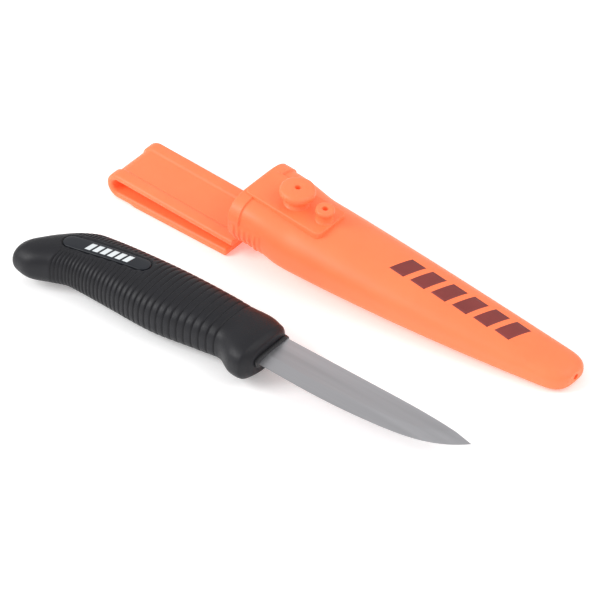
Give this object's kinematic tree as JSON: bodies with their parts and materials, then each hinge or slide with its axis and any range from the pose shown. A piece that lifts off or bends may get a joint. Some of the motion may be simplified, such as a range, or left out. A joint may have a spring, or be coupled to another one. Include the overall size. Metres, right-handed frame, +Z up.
{
  "type": "rigging knife with belt sheath",
  "caption": "Fixed-blade work knife with a soft ribbed handle, laid beside its tapered plastic belt sheath with a snap-open belt loop and carrying buttons.",
  "frame": {"origin": "on the surface the set lies on, under the middle of the belt loop's flat tail", "axes": "+X along the sheath and the knife towards their tips, +Y towards the knife's spine side, +Z up, square to the surface"},
  "size_m": [0.2348, 0.1105, 0.0415],
  "materials": {
    "sheath_plastic": "fluorescent orange moulded plastic, satin",
    "blade_steel": "satin ground along the blade",
    "core_plastic": "black hard plastic",
    "grip_rubber": "black soft overmould, matt",
    "badge_plastic": "dark inlay, semi-gloss"
  },
  "bodies": {
    "sheath": {"sheath_shell": "sheath_plastic", "button_plate": "sheath_plastic", "large_button": "sheath_plastic", "small_button": "sheath_plastic", "belt_strap": "sheath_plastic", "strap_fold": "sheath_plastic"},
    "loop_tail": {"belt_tail": "sheath_plastic"},
    "knife": {"blade": "blade_steel", "handle_core": "core_plastic", "grip_overmould": "grip_rubber", "upper_badge": "badge_plastic", "lower_badge": "badge_plastic"}
  },
  "joints": [
    {"name": "belt_loop_tail", "type": "hinge", "parent": "sheath", "child": "loop_tail", "pos_m": [-0.03085, 0, 0], "axis": [0, 1, 0], "range_deg": [0, 90]},
    {"name": "knife_lift", "type": "slide", "parent": "sheath", "child": "knife", "axis": [0, 0, 1], "range_m": [0, 0.08]}
  ]
}
